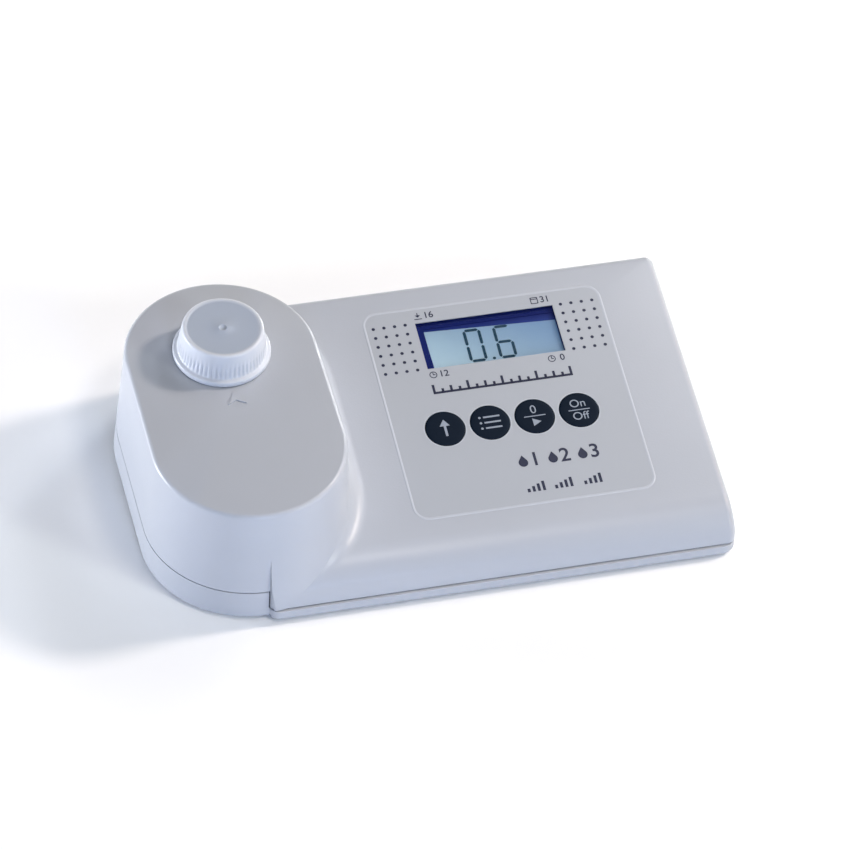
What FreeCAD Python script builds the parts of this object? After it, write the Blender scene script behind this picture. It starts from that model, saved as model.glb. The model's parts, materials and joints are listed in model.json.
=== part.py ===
import FreeCAD, Part
import math
import os

# A handheld pool photometer: a long low housing with a raised turret at its left end.
# The turret holds the sample vial and the batteries, the sloping wing holds the
# display and the keys. X runs right, Y runs back, Z runs up, and the origin is at the
# middle of the footprint, on the table. All sizes are in millimetres.

V = FreeCAD.Vector

# Overall size
length = 190.0
depth = 110.0
foot_proud = 1.0
wall = 2.5

# Turret, a tapered oblong with round ends
turret_radius = 33.8
turret_top_radius = 31.2
turret_top = 46.5
turret_front_room = 2.4
turret_edge = 1.5

# Wing: a sloping panel that rolls over into a steep front
wing_left = -60.5
panel_height = 22.9
panel_slope = 9.25
roll_setback = 13.5
roll_radius = 16.0
front_slope = 76.0
wing_draw = 2.9
draft_height = 60.0
front_left_corner = 3.5
front_right_corner = 5.0
back_right_corner = 3.0
back_edge = 2.6
side_edge = 1.6
bottom_edge = 1.2

# Blend between the turret and the wing
blend_radius = 7.0
skirt_top = 27.0
skirt_spread = 2.4
skirt_back = 9.0
run_out_room = 0.6

# Seam between the two shells
turret_seam = 12.0
wing_seam = 5.0
gasket_height = 0.4
gasket_recess = 0.35
gasket_width = 1.5

# Sample well and vial
vial_radius = 12.0
vial_wall = 1.2
vial_floor = 8.3
vial_shoulder_drop = 1.9
vial_neck_radius = 9.6
vial_neck_wall = 1.4
vial_neck_reach = 9.5
well_gap = 0.3
chamber_wall = 2.2
chamber_floor = 2.0
chamber_flange_radius = 20.6
chamber_flange_drop = 3.6
chamber_flange = 2.0
seal_height = 0.5
pad_reach = 17.5
pad_width = 15.0
pad_bottom = 11.0
pad_top = 35.0

# Vial cap
cap_over_mouth = 2.2
cap_top_radius = 12.8
cap_skirt_radius = 14.3
cap_skirt_height = 7.8
cap_flange_radius = 15.8
cap_flange_thickness = 2.0
cap_flange_gap = 0.3
cap_roof = 1.2
cap_bore_gap = 0.35
liner_gap = 0.05
dimple_radius = 1.2
dimple_depth = 0.5

# Light path
path_heights = (17.5, 28.0)
path_radius = 2.4
holder_depth = 8.4
lamp_radius = 2.5
lamp_flange = 2.95
filter_radius = 4.6
filter_thickness = 3.0
sensor_radius = 2.7
sensor_depth = 3.5
board_thickness = 1.6
face_gap = 0.05
optic_screw_radius = 1.0
optic_screw_spread = 5.6
board_lap = 1.0

# Batteries: four AA cells, two above two
cell_radius = 7.25
cell_length = 50.5
cell_nub = 1.0
cell_nub_radius = 2.7
cell_pitch = 14.9
battery_setback = 33.4
battery_wall = 1.2
battery_end_room = 1.25
battery_side_gap = 0.1
cover_lap = 1.3
cover_thickness = 1.8
cover_margin = 8.4
cover_corner = 8.0
cover_gap = 0.25
cover_seal = 0.4
cover_seat = 2.4
contact_thickness = 0.4

# Membrane keypad on the panel, measured along the slope
pad_middle_x = 31.46
pad_middle_v = 4.2
pad_length = 80.8
pad_depth = 81.0
pad_corner = 5.0
pad_gap = 0.2
film_thickness = 0.4
spacer_thickness = 0.7
circuit_thickness = 0.5
key_radius = 6.58
key_pitch = 15.05
key_first_x = 8.52
key_v = -3.3
key_gap = 0.15
key_rise = 0.3
key_count = 4
dome_radius = 5.2
dome_height = 0.3
panel_backing = 1.3

# Display
window_left = 8.3
window_right = 55.2
window_front = 20.4
window_back = 38.8
window_plate = 1.0
window_lap = 2.2
frame_wall = 1.3
frame_lip = 0.3
lip_left = 2.5
lip_back = 1.8
glass_depth = 1.9
glass_thickness = 2.0
fit_gap = 0.15
light_thickness = 2.0

# Main board, hung under the panel
board_depth = 9.3
board_left = -24.0
board_right = 84.0
board_front = -33.0
board_back = 42.0
board_corner = 2.0
board_inset = 4.0
board_post_radius = 3.0

# Fasteners
screw_radius = 1.5
screw_head_radius = 2.8
screw_head = 2.0
boss_radius = 4.0
boss_room = 1.0
screw_reach = 12.0
screw_reach_front = 4.5
screw_end_room = 1.5
small_reach = 5.5
pilot_gap = 0.1
shank_gap = 0.25
small_screw_radius = 1.1
small_head_radius = 2.0
small_head = 1.3

# Feet
foot_radius = 4.5
foot_sunk = 0.8

# Derived sizes and places
turret_run = depth - 2 * turret_radius - turret_front_room
vial_shoulder = turret_top - vial_shoulder_drop
vial_mouth = turret_top + vial_neck_reach
cap_top = vial_mouth + cap_over_mouth
cap_skirt_bottom = cap_top - cap_skirt_height
turret_x = -length / 2 + turret_radius
turret_y = depth / 2 - turret_run / 2 - turret_radius
vial_y = turret_y + turret_run / 2
front_arc_y = turret_y - turret_run / 2
tilt = math.radians(panel_slope)
steep = math.radians(front_slope)
base = foot_proud
floor_top = base + wall
bore_radius = vial_radius + well_gap
chamber_radius = bore_radius + chamber_wall
chamber_bottom = vial_floor - well_gap - chamber_floor
turret_ceiling = turret_top - wall
battery_middle = vial_y - battery_setback
roll_start = -depth / 2 + roll_setback
roll_y = roll_start + roll_radius * math.sin(tilt)
roll_z = panel_height + roll_start * math.tan(tilt) - roll_radius * math.cos(tilt)
far = length


def save(name, shape):
    """Write one sub-part."""
    shape.exportStep("parts/" + name + ".step")
    print(name, len(shape.Solids), "solids", round(shape.Volume, 1), "mm3")


def group(solids):
    return Part.Compound(solids)


def panel_z(y):
    """Height of the panel's plane over a place on the table."""
    return panel_height + y * math.tan(tilt)


def to_panel(shape):
    """Take a shape drawn flat, with its top face at z = 0, onto the sloping panel."""
    placed = shape.copy()
    placed.rotate(V(0, 0, 0), V(1, 0, 0), panel_slope)
    placed.translate(V(0, 0, panel_height))
    return placed


def disc(radius, z0, z1, x, y):
    return Part.makeCylinder(radius, z1 - z0, V(x, y, z0))


def ring(outer, inner, z0, z1, x, y):
    return disc(outer, z0, z1, x, y).cut(disc(inner, z0 - 1, z1 + 1, x, y))


def block(x0, x1, y0, y1, z0, z1):
    return Part.makeBox(x1 - x0, y1 - y0, z1 - z0, V(x0, y0, z0))


def turned(profile, x, y):
    """Turn a closed (radius, height) profile about a vertical axis."""
    points = [V(radius, 0, height) for radius, height in profile]
    face = Part.Face(Part.makePolygon(points + points[:1]))
    solid = face.revolve(V(0, 0, 0), V(0, 0, 1), 360)
    solid.translate(V(x, y, 0))
    return solid


def corner_wire(x0, x1, y0, y1, z, corners):
    """Rectangle with its own radius at each corner, from the front left round to the back left."""
    places = ((x0 + corners[0], y0 + corners[0], 180), (x1 - corners[1], y0 + corners[1], 270),
              (x1 - corners[2], y1 - corners[2], 0), (x0 + corners[3], y1 - corners[3], 90))
    arcs = []
    for (x, y, start), radius in zip(places, corners):
        turns = [math.radians(start + step) for step in (0, 45, 90)]
        arcs.append([V(x + radius * math.cos(a), y + radius * math.sin(a), z) for a in turns])
    edges = []
    for index, arc in enumerate(arcs):
        edges.append(Part.Arc(*arc).toShape())
        edges.append(Part.LineSegment(arc[2], arcs[(index + 1) % 4][0]).toShape())
    return Part.Wire(edges)


def plate(x0, x1, y0, y1, z0, z1, corner):
    wire = corner_wire(x0, x1, y0, y1, z0, (corner,) * 4)
    return Part.Face(wire).extrude(V(0, 0, z1 - z0))


def screw(radius, reach, head_radius, head, x, y, z):
    """Pan head screw that points up, with the underside of its head at z."""
    crown = head_radius * 0.75
    profile = ((0, -head), (crown, -head), (head_radius, -head * 0.6), (head_radius, 0),
               (radius, 0), (radius, reach - radius), (radius * 0.4, reach), (0, reach))
    solid = turned(profile, x, y)
    solid.translate(V(0, 0, z))
    return solid


def turret_size(z):
    """Radius of the turret's round ends at a height."""
    return turret_radius - (turret_radius - turret_top_radius) * z / turret_top


def oblong(lower, upper, z0, z1):
    """Tapered oblong with round ends in the turret's plan."""
    ends = []
    for y in (front_arc_y, vial_y):
        if abs(lower - upper) < 1e-6:
            ends.append(Part.makeCylinder(lower, z1 - z0, V(turret_x, y, z0)))
        else:
            ends.append(Part.makeCone(lower, upper, z1 - z0, V(turret_x, y, z0)))
    wires = []
    for half, z in ((lower, z0), (upper, z1)):
        corners = [V(turret_x + sx * half, y, z) for sx, y in
                   ((-1, front_arc_y), (1, front_arc_y), (1, vial_y), (-1, vial_y))]
        wires.append(Part.makePolygon(corners + corners[:1]))
    middle = Part.makeLoft(wires, True, True)
    return ends[0].fuse([ends[1], middle]).removeSplitter()


def turret(inset, z0, z1):
    return oblong(turret_size(z0) - inset, turret_size(z1) - inset, z0, z1)


def wing_stock(inset):
    """Oversize bar with the wing's side profile: panel, rolled front edge and steep front."""
    radius = roll_radius - inset
    middle = (tilt + steep) / 2

    def on_roll(angle):
        return V(-length, roll_y - radius * math.sin(angle), roll_z + radius * math.cos(angle))

    crest = on_roll(tilt)
    brow = on_roll(steep)
    run = depth
    back = V(-length, run, crest.z + (run - crest.y) * math.tan(tilt))
    toe = V(-length, brow.y - far / 4 / math.tan(steep), brow.z - far / 4)
    under = [V(-length, toe.y, -far), V(-length, run, -far)]
    edges = [Part.LineSegment(back, crest).toShape(), Part.Arc(crest, on_roll(middle), brow).toShape()]
    corners = [brow, toe, under[0], under[1], back]
    for start, end in zip(corners, corners[1:]):
        edges.append(Part.LineSegment(start, end).toShape())
    return Part.Face(Part.Wire(edges)).extrude(V(2 * length, 0, 0))


def wing_plan(inset):
    """Drafted block with the wing's outline seen from above."""
    corners = (front_left_corner, front_right_corner, back_right_corner, side_edge)
    corners = tuple(max(corner - inset, side_edge / 2) for corner in corners)
    wires = []
    for z in (0, draft_height):
        draw = wing_draw * z / draft_height
        wires.append(corner_wire(wing_left + inset, length / 2 - inset - draw,
                                 -depth / 2 + inset, depth / 2 - inset - draw, z, corners))
    return Part.makeLoft(wires, True, True)


def edges_where(shape, test):
    """Edges of a shape whose sampled points all pass a test."""
    found = []
    for edge in shape.Edges:
        first = edge.FirstParameter
        span = edge.LastParameter - first
        if all(test(edge.valueAt(first + span * step / 6)) for step in range(7)):
            found.append(edge)
    return found


def on_wing_skin(point):
    if point.y > roll_start:
        return abs(point.z - panel_z(point.y)) < 0.05
    return abs(math.hypot(point.y - roll_y, point.z - roll_z) - roll_radius) < 0.05


def by_turret(point):
    off = max(0, abs(point.y - turret_y) - turret_run / 2)
    reach = math.hypot(point.x - turret_x, off)
    return turret_top_radius - 1 < reach < turret_radius + 1


def blended_wing():
    """Wing stock with the turret on it and a hollow round where they meet."""
    joined = wing_stock(0).fuse(turret(0, 0, turret_top)).removeSplitter()
    foot = edges_where(joined, lambda point: on_wing_skin(point) and by_turret(point))
    return joined.makeFillet(blend_radius, foot)


def run_out():
    """Everything in front of a slope that ends the hollow round before the wing's back edge."""
    y = depth / 2 - wing_draw - back_edge - run_out_room
    z = panel_z(y)
    corners = [V(-length, y + length, z - length), V(-length, y - length, z + length),
               V(-length, y - length, z - length)]
    return Part.Face(Part.makePolygon(corners + corners[:1])).extrude(V(2 * length, 0, 0))


def outer_form():
    """The whole outside of both shells."""
    plan = wing_plan(0)
    wing = wing_stock(0).common(plan)
    back = edges_where(wing, lambda point: on_wing_skin(point) and point.y > depth / 2 - wing_draw)
    wing = wing.makeFillet(back_edge, back)
    skirt_foot = turret_size(wing_seam) + skirt_spread
    skirt = oblong(skirt_foot, turret_size(skirt_top), wing_seam, skirt_top)
    near = block(wing_left, length, -depth, vial_y + skirt_back, 0, far)
    under_rim = block(-length, length, -depth, depth, 0, turret_top - 2 * turret_edge)
    collar = blended_wing().fuse(skirt.common(near)).cut(wing_stock(0))
    collar = collar.common(plan).common(under_rim).common(run_out())
    tower = turret(0, base, turret_top)
    rims = edges_where(tower, lambda point: abs(point.z - turret_top) < 0.01)
    tower = tower.makeFillet(turret_edge, rims)
    return wing.fuse([collar, tower]).common(block(-length, length, -depth, depth, base, far))


def stepped_slab(z_turret, z_wing, shift):
    """Everything under the stepped seam line."""
    left = block(-length, wing_left + shift, -depth, depth, 0, z_turret)
    right = block(wing_left + shift - 0.01, length, -depth, depth, 0, z_wing)
    return left.fuse(right)


def hollow():
    """Space inside both shells."""
    inner_turret = turret(wall, floor_top, turret_ceiling)
    inner_wing = wing_stock(wall).common(wing_plan(wall))
    inner_wing = inner_wing.common(block(-length, length, -depth, depth, floor_top, far))
    return inner_turret.fuse(inner_wing)


# Places that several pieces share
def housing_screw_places():
    """Each screw's place, the seam height there and how far its thread goes into the upper shell."""
    edge = wall + boss_radius + boss_room
    draw = wing_draw / 2
    return ((turret_x, vial_y + turret_size(0) - edge, turret_seam, screw_reach),
            (turret_x, front_arc_y - turret_size(0) + edge, turret_seam, screw_reach),
            (length / 2 - edge - draw, -depth / 2 + edge + draw, wing_seam, screw_reach_front),
            (length / 2 - edge - draw, depth / 2 - edge - draw, wing_seam, screw_reach))


def screw_seat(seam):
    """Height of the ledge under a housing screw's head."""
    return base + (seam - base) / 2


def foot_places():
    reach = turret_size(0) - 9.0
    return ((turret_x - reach, vial_y + 3.0), (turret_x - reach * 0.56, front_arc_y - reach * 0.93),
            (length / 2 - 11.0, depth / 2 - 17.0), (length / 2 - 11.0, -depth / 2 + 18.0))


def cover_box(margin):
    """Plan of the battery cover, grown by a margin."""
    half = cell_length / 2 + battery_end_room + battery_wall + cover_lap + margin
    reach = cell_pitch + cover_margin + margin
    return (turret_x - half, turret_x + half, battery_middle - reach, battery_middle + reach)


def battery_box(margin):
    """Plan of the space for the cells, grown by a margin."""
    half = cell_length / 2 + battery_end_room + margin
    reach = cell_pitch + battery_side_gap + margin
    return (turret_x - half, turret_x + half, battery_middle - reach, battery_middle + reach)


cell_floor = base + cover_thickness + cover_seal + battery_side_gap
cell_roof = cell_floor + 2 * cell_pitch + battery_side_gap


def cover_screw_places():
    half = battery_box(0)[1] - turret_x - 7.0
    reach = cell_pitch + cover_margin / 2 + battery_wall / 2 + 0.3
    return [(turret_x + sx * half, battery_middle + sy * reach) for sx in (-1, 1) for sy in (-1, 1)]


def chamber_screw_places():
    reach = (chamber_radius + chamber_flange_radius) / 2 + 0.2
    turns = [math.radians(a) for a in (90, 210, 330)]
    return [(turret_x + reach * math.cos(a), vial_y + reach * math.sin(a)) for a in turns]


def board_screw_places():
    return [(x, v) for x in (board_left + board_inset, board_right - board_inset)
            for v in (board_front + board_inset, board_back - board_inset)]


def key_places():
    return [key_first_x + key_pitch * index for index in range(key_count)]


flange_top = turret_ceiling - chamber_flange_drop


def upper_housing():
    shell = outer_form().cut(hollow())
    shell = shell.cut(stepped_slab(turret_seam + gasket_height, wing_seam + gasket_height, 0.2))
    posts = []
    cuts = []
    for x, y, seam, reach in housing_screw_places():
        posts.append(disc(boss_radius, seam + gasket_height, far, x, y))
        cuts.append(disc(screw_radius + pilot_gap, base, seam + reach + screw_end_room, x, y))
    for x, y in chamber_screw_places():
        posts.append(disc(board_post_radius, flange_top, far, x, y))
        cuts.append(disc(small_screw_radius + pilot_gap, base, flange_top + small_reach - chamber_flange + 0.4, x, y))
    backing = plate(pad_middle_x - pad_length / 2 - wall, pad_middle_x + pad_length / 2 + wall,
                    pad_middle_v - pad_depth / 2 - wall / 2, pad_middle_v + pad_depth / 2 + wall,
                    -keypad_depth() - panel_backing - 0.6, -wall / 2, pad_corner + wall)
    posts.append(to_panel(backing))
    for x, v in board_screw_places():
        posts.append(to_panel(disc(board_post_radius, -board_depth, -wall / 2, x, v)))
        cuts.append(to_panel(disc(small_screw_radius + pilot_gap, -far, -board_depth + small_reach, x, v)))
    inside = outer_form_filled()
    shell = shell.fuse([post.common(inside) for post in posts])
    recess = plate(pad_middle_x - pad_length / 2 - pad_gap, pad_middle_x + pad_length / 2 + pad_gap,
                   pad_middle_v - pad_depth / 2 - pad_gap, pad_middle_v + pad_depth / 2 + pad_gap,
                   -keypad_depth(), far / 4, pad_corner + pad_gap)
    cuts.append(to_panel(recess))
    x0, x1, v0, v1 = frame_outline(fit_gap)
    cuts.append(to_panel(block(x0, x1, v0, v1, -far / 4, 0)))
    cuts.append(disc(bore_radius, base, far, turret_x, vial_y))
    shell = shell.cut(group(cuts))
    arrow = [V(turret_x - 3.0, turret_y - 3.2, 0), V(turret_x, turret_y + 2.3, 0), V(turret_x + 3.0, turret_y - 3.2, 0),
             V(turret_x, turret_y - 1.4, 0)]
    mark = Part.Face(Part.makePolygon(arrow + arrow[:1])).extrude(V(0, 0, 0.8))
    mark.translate(V(0, 0, turret_top - 0.4))
    return shell.fuse(mark).removeSplitter()


def outer_form_filled():
    """Everything inside the shells' inner and outer skin, to trim posts and ribs."""
    core = turret(wall / 2, base, turret_top - wall / 2)
    return core.fuse(wing_stock(wall / 2).common(wing_plan(wall / 2)).common(block(-length, length, -depth, depth, base, far)))


def lower_housing():
    tower = turret(0, base, turret_seam)
    rim = edges_where(tower, lambda point: abs(point.z - base) < 0.01)
    tower = tower.makeFillet(bottom_edge, rim)
    deck = wing_plan(0).common(block(-length, length, -depth, depth, base, wing_seam))
    rim = edges_where(deck, lambda point: abs(point.z - base) < 0.01 and point.x > wing_left + 1)
    deck = deck.makeFillet(bottom_edge, rim)
    form = tower.fuse(deck).common(stepped_slab(turret_seam, wing_seam, -0.2))
    inner_wing = wing_plan(wall).common(block(-length, length, -depth, depth, floor_top, far))
    shell = form.cut(turret(wall, floor_top, turret_ceiling).fuse(inner_wing))
    x0, x1, y0, y1 = battery_box(battery_wall)
    adds = [block(x0, x1, y0, y1, floor_top - wall / 2, cell_roof + battery_wall)]
    x0, x1, y0, y1 = cover_box(battery_wall)
    adds.append(plate(x0, x1, y0, y1, base, floor_top + cover_seat - wall / 2, cover_corner).common(turret_room(floor_top)))
    adds.append(ring(chamber_radius + 1.5, chamber_radius - 2.5, floor_top - wall / 2, chamber_bottom, turret_x, vial_y))
    for x, y, seam, reach in housing_screw_places():
        adds.append(disc(boss_radius, base, seam, x, y))
    shell = shell.fuse(adds)
    cuts = []
    x0, x1, y0, y1 = battery_box(0)
    cuts.append(block(x0, x1, y0, y1, 0, cell_roof))
    x0, x1, y0, y1 = cover_box(cover_gap)
    cuts.append(plate(x0, x1, y0, y1, 0, base + cover_thickness + cover_seal, cover_corner))
    for x, y, seam, reach in housing_screw_places():
        cuts.append(disc(screw_head_radius + shank_gap, 0, screw_seat(seam), x, y))
        cuts.append(disc(screw_radius + shank_gap, 0, far, x, y))
    for x, y in cover_screw_places():
        cuts.append(disc(small_screw_radius + pilot_gap, 0, base + cover_thickness + small_reach, x, y))
    for x, y in foot_places():
        cuts.append(disc(foot_radius + shank_gap, 0, base + foot_sunk, x, y))
    return shell.cut(group(cuts))


def turret_room(z):
    """A block as wide as the turret's base, to keep the cover's seat inside it."""
    left = oblong(turret_size(0) - wall / 2, turret_size(0) - wall / 2, 0, z + far)
    right = block(turret_x, length / 2, -depth / 2 + wall, depth / 2 - wall, 0, z + far)
    return left.fuse(right)


def housing_gasket():
    step = stepped_slab(turret_seam + gasket_height, wing_seam + gasket_height, 0.2)
    step = step.cut(stepped_slab(turret_seam, wing_seam, -0.2))

    def body(inset):
        slab = block(-length, length, -depth, depth, base, turret_seam + 2)
        return turret(inset, base, turret_seam + 2).fuse(gasket_wing(inset).common(slab))

    band = body(gasket_recess).cut(body(gasket_recess + gasket_width))
    return step.common(band)


def gasket_wing(inset):
    return wing_stock(inset).common(wing_plan(inset))


def housing_screws():
    screws = []
    for x, y, seam, reach in housing_screw_places():
        seat = screw_seat(seam)
        head = min(screw_head, seat - base - 0.2)
        screws.append(screw(screw_radius, seam - seat + reach, screw_head_radius, head, x, y, seat))
    return group(screws)


def rubber_feet():
    feet = []
    for x, y in foot_places():
        top = base + foot_sunk
        profile = ((0, 0), (foot_radius - 0.8, 0), (foot_radius, 0.8), (foot_radius, top), (0, top))
        feet.append(turned(profile, x, y))
    return group(feet)


def battery_cover():
    x0, x1, y0, y1 = cover_box(0)
    cover = plate(x0, x1, y0, y1, base, base + cover_thickness, cover_corner)
    for x, y in cover_screw_places():
        cover = cover.cut(disc(small_screw_radius + shank_gap, 0, far, x, y))
        sink = Part.makeCone(small_head_radius + shank_gap, small_screw_radius + shank_gap, small_head, V(x, y, base))
        cover = cover.cut(sink)
    grips = [block(x0 + 7 + step * 1.8, x0 + 7.8 + step * 1.8, battery_middle - 8, battery_middle + 8, 0, base + 0.4)
             for step in range(5)]
    return cover.cut(group(grips))


def battery_cover_seal():
    x0, x1, y0, y1 = battery_box(battery_wall)
    z0 = base + cover_thickness
    band = plate(x0 - 0.6, x1 + 0.6, y0 - 0.6, y1 + 0.6, z0, z0 + cover_seal, 2.0)
    x0, x1, y0, y1 = battery_box(0.2)
    return band.cut(block(x0, x1, y0, y1, 0, far))


def battery_cover_screws():
    screws = []
    for x, y in cover_screw_places():
        profile = ((0, 0), (small_head_radius, 0), (small_screw_radius, small_head - 0.1),
                   (small_screw_radius, small_reach), (0, small_reach))
        solid = turned(profile, x, y)
        solid.translate(V(0, 0, base + 0.05))
        screws.append(solid)
    return group(screws)


def cell_places():
    """Each cell's middle and the way its positive end points."""
    return [(battery_middle + sy * cell_pitch / 2, cell_floor + cell_pitch * (layer + 0.5), sy if layer else -sy)
            for layer in (0, 1) for sy in (-1, 1)]


def aa_cell(y, z, way):
    can = Part.makeCylinder(cell_radius, cell_length - cell_nub, V(0, 0, 0), V(1, 0, 0))
    can = can.makeFillet(0.6, [edge for edge in can.Edges if len(edge.Vertexes) == 1])
    nub = Part.makeCylinder(cell_nub_radius, cell_nub + 0.5, V(cell_length - cell_nub - 0.5, 0, 0), V(1, 0, 0))
    cell = can.fuse(nub)
    cell.translate(V(-cell_length / 2, 0, 0))
    if way < 0:
        cell.rotate(V(0, 0, 0), V(0, 0, 1), 180)
    cell.translate(V(turret_x, y, z))
    return cell


def battery_contacts():
    """Flat contacts at the positive ends, one to a cell, linked in pairs."""
    x0, x1, y0, y1 = battery_box(0)
    plates = []
    for y, z, way in cell_places():
        wall_x = x1 - contact_thickness if way > 0 else x0
        plates.append(block(wall_x, wall_x + contact_thickness, y - 4.5, y + 4.5, z - 4.5, z + 4.5))
    return group(plates)


def battery_springs():
    """Bowed leaf springs at the negative ends."""
    x0, x1, y0, y1 = battery_box(0)
    room = battery_end_room - 0.1
    leaves = []
    for y, z, way in cell_places():
        near = x0 if way > 0 else x1
        side = 1 if way > 0 else -1
        outer = Part.Arc(V(near, 0, -5), V(near + side * room, 0, 0), V(near, 0, 5)).toShape()
        inner = Part.Arc(V(near, 0, 4.2), V(near + side * (room - contact_thickness), 0, 0), V(near, 0, -4.2)).toShape()
        joins = [Part.LineSegment(V(near, 0, 5), V(near, 0, 4.2)).toShape(),
                 Part.LineSegment(V(near, 0, -4.2), V(near, 0, -5)).toShape()]
        leaf = Part.Face(Part.Wire([outer, joins[0], inner, joins[1]])).extrude(V(0, 5, 0))
        leaf.translate(V(0, y - 2.5, z))
        leaves.append(leaf)
    return group(leaves)


def keypad_depth():
    return film_thickness + spacer_thickness + circuit_thickness


def pad_plate(z0, z1, margin):
    return plate(pad_middle_x - pad_length / 2 + margin, pad_middle_x + pad_length / 2 - margin,
                 pad_middle_v - pad_depth / 2 + margin, pad_middle_v + pad_depth / 2 - margin, z0, z1, pad_corner - margin)


def key_holes(radius):
    return group([disc(radius, -far / 4, far / 4, x, key_v) for x in key_places()])


def window_hole(margin):
    return block(window_left - margin, window_right + margin, window_front - margin, window_back + margin, -far / 4, far / 4)


def keypad_film():
    film = pad_plate(-film_thickness, 0, 0).cut(key_holes(key_radius + key_gap))
    return to_panel(film.cut(window_hole(0)))


def keypad_spacer():
    layer = pad_plate(-film_thickness - spacer_thickness, -film_thickness, 0.3)
    layer = layer.cut(key_holes(key_radius + key_gap))
    return to_panel(layer.cut(window_hole(window_lap + fit_gap)))


def keypad_circuit():
    layer = pad_plate(-keypad_depth(), -film_thickness - spacer_thickness, 0.3)
    return to_panel(layer.cut(window_hole(window_lap + fit_gap)))


def key_domes():
    """Snap domes of sheet steel under the keys."""
    z = -film_thickness - spacer_thickness
    domes = []
    for x in key_places():
        profile = ((0, z + dome_height), (dome_radius - 1.6, z + dome_height * 0.8), (dome_radius, z + 0.08),
                   (dome_radius, z), (0, z))
        domes.append(to_panel(turned(profile, x, key_v)))
    return group(domes)


def key(x):
    """One embossed key of the film, with a soft crown."""
    z = -film_thickness
    profile = ((0, z), (key_radius, z), (key_radius, key_rise * 0.3), (key_radius - 0.5, key_rise * 0.75),
               (key_radius - 1.6, key_rise), (0, key_rise))
    return to_panel(turned(profile, x, key_v))


def frame_outline(margin):
    reach = window_lap - 0.9 + margin
    return (window_left - reach, window_right + reach, window_front - reach, window_back + reach)


def display_window():
    z1 = -film_thickness
    pane = plate(window_left - window_lap, window_right + window_lap, window_front - window_lap,
                 window_back + window_lap, z1 - window_plate, z1, 1.0)
    return to_panel(pane)


def lcd_frame():
    x0, x1, v0, v1 = frame_outline(0)
    top = -film_thickness - window_plate
    bottom = -glass_depth - glass_thickness
    frame = block(x0, x1, v0, v1, bottom, top)
    lip_top = -glass_depth + frame_lip
    frame = frame.cut(block(window_left, window_right, window_front, window_back, lip_top, 0))
    frame = frame.cut(block(window_left + lip_left, window_right, window_front, window_back - lip_back, bottom, 0))
    x0, x1, v0, v1 = glass_outline(fit_gap)
    return to_panel(frame.cut(block(x0, x1, v0, v1, -far / 4, -glass_depth)))


def glass_outline(margin):
    x0, x1, v0, v1 = frame_outline(-frame_wall * 0.75 + margin)
    return (x0, x1, v0, v1)


def lcd_glass():
    x0, x1, v0, v1 = glass_outline(0)
    return to_panel(block(x0, x1, v0, v1, -glass_depth - glass_thickness, -glass_depth))


def backlight_panel():
    x0, x1, v0, v1 = glass_outline(-3.0)
    top = -glass_depth - glass_thickness
    return to_panel(block(x0, x1, v0, v1, top - light_thickness, top))


def zebra_strips():
    x0, x1, v0, v1 = glass_outline(-0.8)
    top = -glass_depth - glass_thickness
    return group([to_panel(block(x0, x1, v, v + 1.6, -board_depth, top)) for v in (v0, v1 - 1.6)])


def main_board():
    board = plate(board_left, board_right, board_front, board_back, -board_depth - board_thickness, -board_depth, board_corner)
    for x, v in board_screw_places():
        board = board.cut(disc(small_screw_radius + shank_gap, -far, 0, x, v))
    return to_panel(board)


def board_components():
    """Chips, a crystal, a buzzer and connectors under the board, and the keypad's socket above it."""
    under = -board_depth - board_thickness
    parts = []
    chips = ((4, 8, 12, 12, 1.6), (30, 12, 10, 10, 1.4), (52, 4, 8, 5, 1.2), (-12, 20, 6, 9, 2.2), (62, 26, 9, 5, 2.0))
    for x, v, across, along, height in chips:
        parts.append(block(x, x + across, v, v + along, under - height, under))
    parts.append(disc(6.0, under - 3.5, under, 66.0, 10.0))
    parts.append(disc(3.2, under - 4.6, under, -10.0, 6.0))
    parts.append(block(-20, -14, -2, 9, under - 3.0, under))
    parts.append(block(16, 34, -24, -20, -board_depth, -board_depth + 2.0))
    return group([to_panel(part) for part in parts])


def board_screws():
    screws = []
    for x, v in board_screw_places():
        solid = screw(small_screw_radius, board_thickness + small_reach - 1.0, small_head_radius, small_head, x, v,
                      -board_depth - board_thickness)
        screws.append(to_panel(solid))
    return group(screws)


def sample_chamber():
    """Black well insert: tube with a floor, a flange under the turret's roof and two flat pads."""
    tube = disc(chamber_radius, chamber_bottom, turret_ceiling - seal_height, turret_x, vial_y)
    flange = disc(chamber_flange_radius, flange_top - chamber_flange, flange_top, turret_x, vial_y)
    pads = block(turret_x - pad_reach, turret_x + pad_reach, vial_y - pad_width / 2, vial_y + pad_width / 2, pad_bottom, pad_top)
    body = tube.fuse([flange, pads])
    cuts = [disc(bore_radius, vial_floor - well_gap, far, turret_x, vial_y)]
    for x, y in chamber_screw_places():
        cuts.append(disc(small_screw_radius + shank_gap, 0, far, x, y))
    for z in path_heights:
        cuts.append(Part.makeCylinder(path_radius, 4 * pad_reach, V(turret_x - 2 * pad_reach, vial_y, z), V(1, 0, 0)))
    return body.cut(group(cuts)).cut(optic_screw_holes(0.05))


def optic_screw_holes(gap):
    """Places of the four screws that hold both optic blocks to the pads."""
    holes = []
    for side in (-1, 1):
        start = V(turret_x + side * (pad_reach - 2.5), vial_y, 0)
        for sy in (-1, 1):
            middle = (path_heights[0] + path_heights[1]) / 2
            place = start + V(0, sy * optic_screw_spread, middle)
            holes.append(Part.makeCylinder(optic_screw_radius + gap, 2.6 + holder_depth + board_thickness + 1, place, V(side, 0, 0)))
    return group(holes)


def chamber_seal():
    return ring(chamber_radius, bore_radius, turret_ceiling - seal_height, turret_ceiling, turret_x, vial_y)


def chamber_screws():
    screws = [screw(small_screw_radius, small_reach, small_head_radius, small_head, x, y, flange_top - chamber_flange)
              for x, y in chamber_screw_places()]
    return group(screws)


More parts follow.
